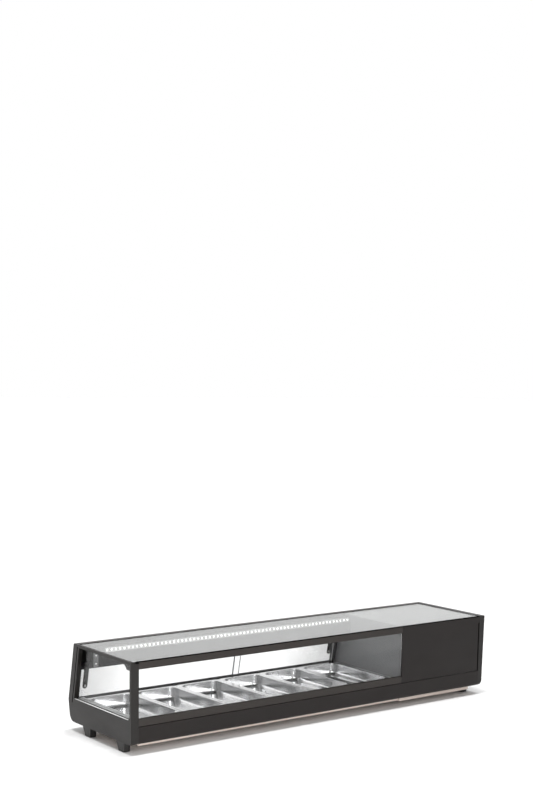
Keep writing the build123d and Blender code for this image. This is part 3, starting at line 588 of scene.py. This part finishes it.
# ---- lamp ----------------------------------------------------------------------------------------
BOARD_ROUNDING = (0.8 * MM, 0.2 * MM)
CHIP_HALF, CHIP_DEPTH, CHIP_ROUNDING = 2.5 * MM, 0.8 * MM, (0.5 * MM, 0.15 * MM)
CHIP_MATCH = 0.3 * MM  # the two ends of a chip are one chip's width apart, to within this
DOME = ((2.45, 0.0), (2.35, 0.3), (1.9, 0.55), (1.1, 0.68), (0.3, 0.7))  # radius and height, mm
DOME_FOOT, DOME_STRETCH, DOME_ROUND, DOME_STEPS = 0.78, 0.8, 0.98, 4
RESISTOR_AWAY = 7.5 * MM
RESISTOR_SIZE, RESISTOR_DEPTH, RESISTOR_ROUNDING = (1.2 * MM, 0.7 * MM), 0.6 * MM, (0.1 * MM, 0.08 * MM)
PAD_SIZE, PAD_DEPTH, PAD_ROUNDING = (0.9 * MM, 0.7 * MM), 0.2 * MM, (0.2 * MM, 0.05 * MM)
PAD_RISE, PAD_ASIDE, PAD_OUT = 2.6 * MM, 1.6 * MM, 0.05 * MM


def make_lamp(materials):
    """Board with a lamp chip, a resistor and solder pads at every step."""
    edges = sorted({round(v.co.x, 4) for v in frame["nodes"]["led_chips"].data.vertices})
    chips, chips_size = box_of("led_chips")
    board_centre, board_size = box_of("led_board")
    width = 2 * chips_size.z
    starts = [x for x in edges if min(abs(x + width - other) for other in edges) < CHIP_MATCH]
    board = Build()
    board.slab(board_centre, FACING_FRONT, (board_size.x, board_size.z), 2 * board_size.y, BOARD_ROUNDING)
    light = Build()
    for start in starts:
        face = Vector((start + width / 2, board_centre.y - board_size.y, chips.z))
        light.slab(face + FORWARD * CHIP_DEPTH / 2, FACING_FRONT, (CHIP_HALF, CHIP_HALF), CHIP_DEPTH,
                   CHIP_ROUNDING)
        dome = []
        for radius, lift in DOME:
            ring = rounded_ring(radius * MM, radius * MM, radius * MM * DOME_ROUND, DOME_STEPS)
            top = face + FORWARD * (DOME_FOOT + DOME_STRETCH * lift) * MM
            dome.append([top + ALONG * x + UPRIGHT * z for x, z in ring])
        light.loft(dome, finish=1)
        resistor = face + ALONG * RESISTOR_AWAY + FORWARD * RESISTOR_DEPTH / 2
        board.slab(resistor, FACING_FRONT, RESISTOR_SIZE, RESISTOR_DEPTH, RESISTOR_ROUNDING,
                   finish=1, steps=FEW_STEPS)
        for aside in (-PAD_ASIDE, PAD_ASIDE):
            pad = face + ALONG * (RESISTOR_AWAY + aside) + UPRIGHT * PAD_RISE + FORWARD * PAD_OUT
            board.slab(pad, FACING_FRONT, PAD_SIZE, PAD_DEPTH, PAD_ROUNDING, finish=2, steps=FEW_STEPS)
    board.finish_as("visual_led_board", "case",
                    [materials["lamp_board"], materials["control_plastic"], materials["screw_steel"]],
                    ["led_board"])
    light.finish_as("visual_led_chips", "case", [materials["lamp_board"], materials["lamp_light"]],
                    ["led_chips"])


# ---- strap on the beam ---------------------------------------------------------------------------
STRAP_IN, STRAP_HALF_WIDTH, STRAP_DEPTH = 5 * MM, 9 * MM, 1.4 * MM
STRAP_FOOT, STRAP_TOP = 2 * MM, 4 * MM  # left free on the beam below and above the strap
STRAP_OFF_BEAM = 0.8 * MM  # from the beam's face to the strap's middle
STRAP_ROUNDING = (2 * MM, 0.4 * MM)
SCREW_R, SCREW_DEPTH, SCREW_ROUNDING = 2.6 * MM, 1.2 * MM, (2.55 * MM, 0.5 * MM)
SCREW_SHARE = 0.55  # of the way from the strap's middle to its ends


def make_beam_strap(materials):
    """Steel strap with two screws on the beam's front, above the left hanging arm."""
    low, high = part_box("rear_top_beam")
    reach = (low.z + STRAP_FOOT, high.z - STRAP_TOP)
    centre = Vector((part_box("hanging_arms")[0].x + STRAP_IN, low.y - STRAP_OFF_BEAM, middle(reach)))
    strap = Build()
    strap.slab(centre, FACING_FRONT, (STRAP_HALF_WIDTH, half(reach)), STRAP_DEPTH, STRAP_ROUNDING)
    for share in (-SCREW_SHARE, SCREW_SHARE):
        spot = centre + UPRIGHT * half(reach) * share + FORWARD * SCREW_DEPTH
        strap.slab(spot, FACING_FRONT, (SCREW_R, SCREW_R), SCREW_DEPTH, SCREW_ROUNDING, finish=1)
    strap.finish_as("visual_beam_strap", "case", [materials["strap_steel"], materials["screw_steel"]])


# ---- trim at the foot of the side window ---------------------------------------------------------
STRIP_WIDTH, STRIP_DEPTH, STRIP_ROUNDING = 4.5 * MM, 1.0 * MM, (1 * MM, 0.4 * MM)
STRIP_IN, STRIP_UP, STRIP_FORWARD, STRIP_SHORT = 0.7 * MM, 0.5 * MM, 3 * MM, 5 * MM
# Near-black sheet under the grille, there as painted shade in the grille's slots.
SLOT_SHADE_DEPTH, SLOT_SHADE_UP, SLOT_SHADE_ROUNDING = 1.4 * MM, 0.8 * MM, (1 * MM, 0.3 * MM)
SLOT_SHADE_IN_X, SLOT_SHADE_IN_Y = 2 * MM, 4 * MM


def make_sill_trim(materials):
    """Strip along the foot of the side window, made white as a painted highlight, and a near-black sheet under the
    grille that its slots show as painted shade.
    """
    grille, size = box_of("air_grille_left")
    # Strip made white as a painted highlight.
    strip = Build()
    centre = Vector((
        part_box("left_end_frame")[0].x + STRIP_IN + STRIP_WIDTH / 2,
        grille.y - STRIP_FORWARD,
        grille.z + size.z + STRIP_UP + STRIP_DEPTH / 2,
    ))
    strip.slab(centre, LYING, (STRIP_WIDTH / 2, size.y - STRIP_SHORT), STRIP_DEPTH, STRIP_ROUNDING)
    strip.finish_as("visual_sill_strip", "case", [materials["trim_painted_highlight"]])
    # Painted shade: near-black sheet that the grille's slots show.
    slot_shade_sheet = Build()
    centre = Vector((grille.x, grille.y, grille.z - size.z + SLOT_SHADE_UP))
    slot_shade_sheet.slab(centre, LYING, (size.x - SLOT_SHADE_IN_X, size.y - SLOT_SHADE_IN_Y), SLOT_SHADE_DEPTH, SLOT_SHADE_ROUNDING)
    slot_shade_sheet.finish_as("visual_grille_slot_shade", "case", [materials["rubber_seal"]])


# ---- thermostat digits ---------------------------------------------------------------------------
READING = "35"
SEGMENTS = {"3": "abgcd", "5": "afgcd"}
# Where each segment's middle lies, in steps across and up of about a segment's half length, and
# whether the segment lies flat.
SEGMENT_PLACES = {
    "a": (0, 2, True), "g": (0, 0, True), "d": (0, -2, True),
    "f": (-1, 1, False), "b": (1, 1, False), "c": (1, -1, False),
}
SEGMENT_HALF, SEGMENT_THICK, SEGMENT_DEPTH = 2.3 * MM, 0.45 * MM, 0.2 * MM
SEGMENT_ROUNDING = (0.4 * MM, 0.05 * MM)
GAP_ACROSS, GAP_UP = 0.3 * MM, 0.2 * MM
DIGIT_PITCH, DIGIT_SUNK = 8.5 * MM, 0.05 * MM
WINDOW_ROUNDING = (0.8 * MM, 0.25 * MM)


def make_digits(materials):
    """Display window with two seven-segment digits in its face."""
    centre, x, u, w = on_slope("thermostat_display")
    right = -ALONG
    facing_rear = (right, UP_SLOPE, -INWARD)
    window = Build()
    window.slab(centre, facing_rear, (half(x), half(u)), 2 * half(w), WINDOW_ROUNDING)
    face = centre - INWARD * (half(w) - DIGIT_SUNK)
    for index, digit in enumerate(READING):
        middle_x = (index - (len(READING) - 1) / 2) * DIGIT_PITCH
        for name in SEGMENTS[digit]:
            across, over, flat = SEGMENT_PLACES[name]
            spot = face + right * (middle_x + across * (SEGMENT_HALF + GAP_ACROSS))
            spot += UP_SLOPE * over * (SEGMENT_HALF + GAP_UP)
            size = (SEGMENT_HALF, SEGMENT_THICK) if flat else (SEGMENT_THICK, SEGMENT_HALF)
            window.slab(spot, facing_rear, size, SEGMENT_DEPTH, SEGMENT_ROUNDING, finish=1, steps=FEW_STEPS)
    window.finish_as("visual_thermostat_display", "case",
                     [materials["display"], materials["display_digits"]], ["thermostat_display"])


# ---- floor and light -----------------------------------------------------------------------------
FLOOR_HALF, FLOOR_DROP = 40.0, 0.0005
WORLD_FRONT, WORLD_BACK = 0.35, 1.0
WORLD_TURNS = (-0.2, 0.8)  # y of the directions between which the surround brightens
SUN_STRENGTH, SUN_SOFTNESS = 1.3, 10  # softness in degrees
SUN_TRAVELS = {"sun_left": (0.14, 0.03, -1), "sun_right": (-0.15, 0.03, -1)}
KEY_PLACE, KEY_AIM = (-0.9, -1.7, 0.8), (-0.5, 0, 0.15)
KEY_SIZE, KEY_POWER = (1.0, 1.2), 14


def make_floor():
    """Plain pale floor, a little under the feet."""
    m = Material("floor", Roughness=0.9)
    grain = m.noise(40, detail=3)
    m.set(Base_Color=m.ramp(grain, [(0.3, 0.86), (0.7, 0.9)]))
    corners = [(x * FLOOR_HALF, y * FLOOR_HALF, 0) for x, y in ((-1, -1), (1, -1), (1, 1), (-1, 1))]
    mesh = bpy.data.meshes.new("floor")
    mesh.from_pydata(corners, [], [(0, 1, 2, 3)])
    mesh.materials.append(m.made)
    floor = bpy.data.objects.new("floor", mesh)
    floor.location.z = -FLOOR_DROP
    bpy.context.scene.collection.objects.link(floor)


def make_world():
    """Soft white surround, brighter behind the case than in front of it.

    The camera itself meets plain white.
    """
    world = bpy.data.worlds.new("studio")
    bpy.context.scene.world = world
    world.use_nodes = True
    tree = world.node_tree
    direction = tree.nodes.new("ShaderNodeTexCoord").outputs["Generated"]
    parts = tree.nodes.new("ShaderNodeSeparateXYZ")
    tree.links.new(direction, parts.inputs[0])
    level = tree.nodes.new("ShaderNodeMapRange")
    tree.links.new(parts.outputs["Y"], level.inputs["Value"])
    sockets = ("From Min", "From Max", "To Min", "To Max")
    for socket, value in zip(sockets, (*WORLD_TURNS, WORLD_FRONT, WORLD_BACK)):
        level.inputs[socket].default_value = value
    shade = tree.nodes["Background"]
    tree.links.new(level.outputs["Result"], shade.inputs["Strength"])
    plain = tree.nodes.new("ShaderNodeBackground")
    choice = tree.nodes.new("ShaderNodeMixShader")
    tree.links.new(tree.nodes.new("ShaderNodeLightPath").outputs["Is Camera Ray"], choice.inputs[0])
    tree.links.new(shade.outputs[0], choice.inputs[1])
    tree.links.new(plain.outputs[0], choice.inputs[2])
    for node in (shade, plain):
        node.inputs["Color"].default_value = (1, 1, 1, 1)
    tree.links.new(choice.outputs[0], tree.nodes["World Output"].inputs["Surface"])


def make_suns():
    """Two broad lights from above, one a little from each side."""
    for name, travel in SUN_TRAVELS.items():
        lamp = bpy.data.lights.new(name, "SUN")
        lamp.energy, lamp.angle = SUN_STRENGTH, math.radians(SUN_SOFTNESS)
        light = bpy.data.objects.new(name, lamp)
        light.rotation_euler = Vector(travel).to_track_quat("-Z", "Y").to_euler()
        bpy.context.scene.collection.objects.link(light)


def softbox(name, place, aim, size, power):
    """Rectangular area light at a place, turned towards an aim; metres and watts."""
    lamp = bpy.data.lights.new(name, "AREA")
    lamp.shape, lamp.size, lamp.size_y, lamp.energy = "RECTANGLE", size[0], size[1], power
    light = bpy.data.objects.new(name, lamp)
    light.location = place
    light.rotation_euler = (Vector(aim) - Vector(place)).to_track_quat("-Z", "Y").to_euler()
    bpy.context.scene.collection.objects.link(light)


# ---- build ---------------------------------------------------------------------------------------
make_camera()
MATERIALS = make_materials()
paint_cad_nodes(MATERIALS)

for number in range(1, PANS + 1):
    make_pan(number, MATERIALS)
make_panes(MATERIALS)
for side in ("left", "right"):
    make_door(side, MATERIALS)
make_lamp(MATERIALS)
make_digits(MATERIALS)
make_beam_strap(MATERIALS)
make_sill_trim(MATERIALS)

make_floor()
make_world()
make_suns()
softbox("key", KEY_PLACE, KEY_AIM, KEY_SIZE, KEY_POWER)
bpy.context.scene.view_settings.view_transform = "Standard"
